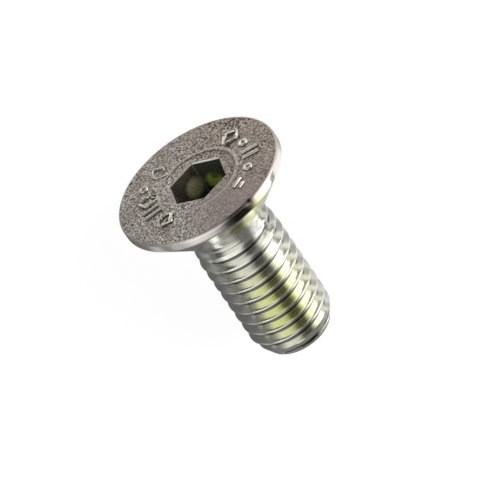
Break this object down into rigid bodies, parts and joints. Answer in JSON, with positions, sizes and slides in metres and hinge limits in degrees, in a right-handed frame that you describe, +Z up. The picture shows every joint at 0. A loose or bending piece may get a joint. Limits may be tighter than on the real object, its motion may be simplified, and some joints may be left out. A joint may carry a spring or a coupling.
{
  "type": "countersunk socket screw",
  "caption": "Countersunk screw with a flat disc-like head, a hexagon socket and a coarse metric thread that runs almost up to the head.",
  "frame": {"origin": "on the floor, under the middle of the screw's bounding box", "axes": "+Z up; +Y runs along the screw from the head to the tip, seen from above; the head's face looks to -Y and 13.4 degrees up, because the screw lies on its rim and on its last full crest"},
  "size_m": [0.0098, 0.013, 0.0096],
  "materials": {
    "zinc_plated_steel": "bright zinc plating with a faint yellow-green tint; the head's face is matt and finely pitted"
  },
  "bodies": {
    "root": {"countersunk_screw": "zinc_plated_steel"}
  },
  "joints": []
}
